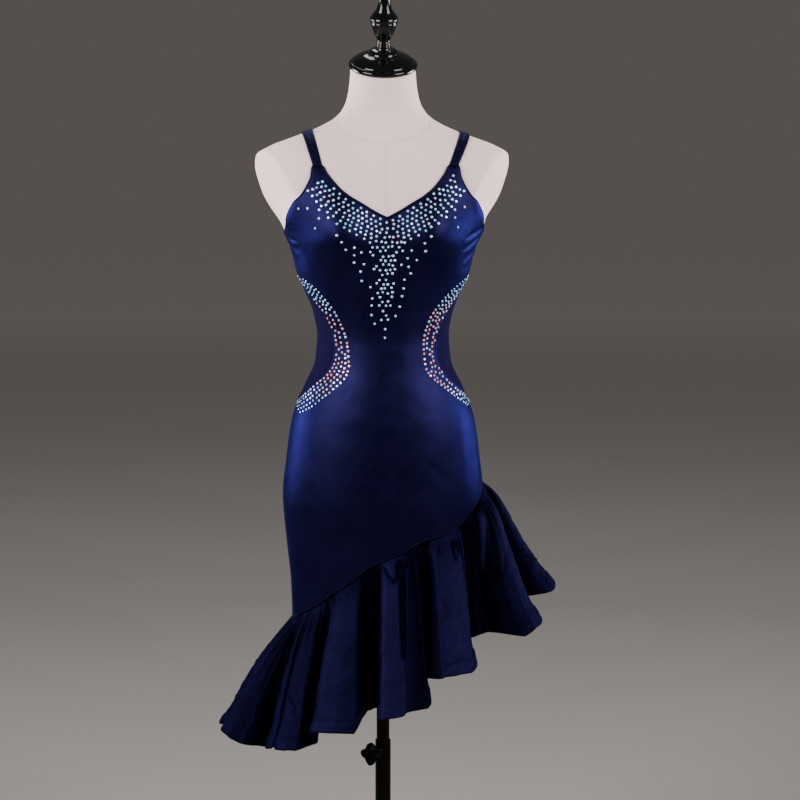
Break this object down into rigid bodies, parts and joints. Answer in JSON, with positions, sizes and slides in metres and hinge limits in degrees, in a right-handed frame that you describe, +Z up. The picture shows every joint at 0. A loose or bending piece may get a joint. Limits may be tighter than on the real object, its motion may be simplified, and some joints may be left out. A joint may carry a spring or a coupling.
{
  "type": "salsa dance dress on dress form stand",
  "caption": "Fitted strappy dance dress with side cut-outs and a slanted gathered flounce, worn on a limbless dress form with a turned cap and telescoping stand.",
  "frame": {"origin": "middle of the stand base's underside, on the floor", "axes": "+Z up, -Y the front of the dress, +X the wearer's left"},
  "size_m": [0.5478, 0.4276, 1.6104],
  "materials": {
    "satin": "shiny stretch satin, dark navy",
    "sheer_mesh": "semi-sheer stretch mesh, purple navy",
    "form_cover": "matt off-white jersey cover",
    "black_board": "matt black",
    "gloss_wood": "gloss black lacquer",
    "black_enamel": "semi-gloss black",
    "black_plastic": "semi-matt black"
  },
  "bodies": {
    "stand": {"base_plate": "black_enamel", "outer_tube": "black_enamel"},
    "knob": {"clamp_knob": "black_plastic"},
    "pole": {"inner_pole": "black_enamel"},
    "form": {"pole_socket": "black_enamel", "form_bottom_plate": "black_board", "form_torso": "form_cover", "neck_cap": "gloss_wood", "finial": "gloss_wood", "front_panel": "satin", "back_panel": "satin", "neckline_binding": "satin", "side_mesh_right": "sheer_mesh", "side_mesh_left": "sheer_mesh", "strap_right": "satin", "strap_left": "satin", "flounce_front": "satin", "flounce_back": "satin", "hem_band_front": "satin", "hem_band_back": "satin"}
  },
  "joints": [
    {"name": "height", "type": "slide", "parent": "stand", "child": "pole", "axis": [0, 0, 1], "range_m": [-0.15, 0.12]},
    {"name": "swivel", "type": "hinge", "parent": "pole", "child": "form", "pos_m": [0, 0, 0.62], "axis": [0, 0, 1], "continuous": true},
    {"name": "knob_turn", "type": "hinge", "parent": "stand", "child": "knob", "pos_m": [0, 0, 0.356], "axis": [-0.6561, -0.7547, 0], "continuous": true}
  ]
}
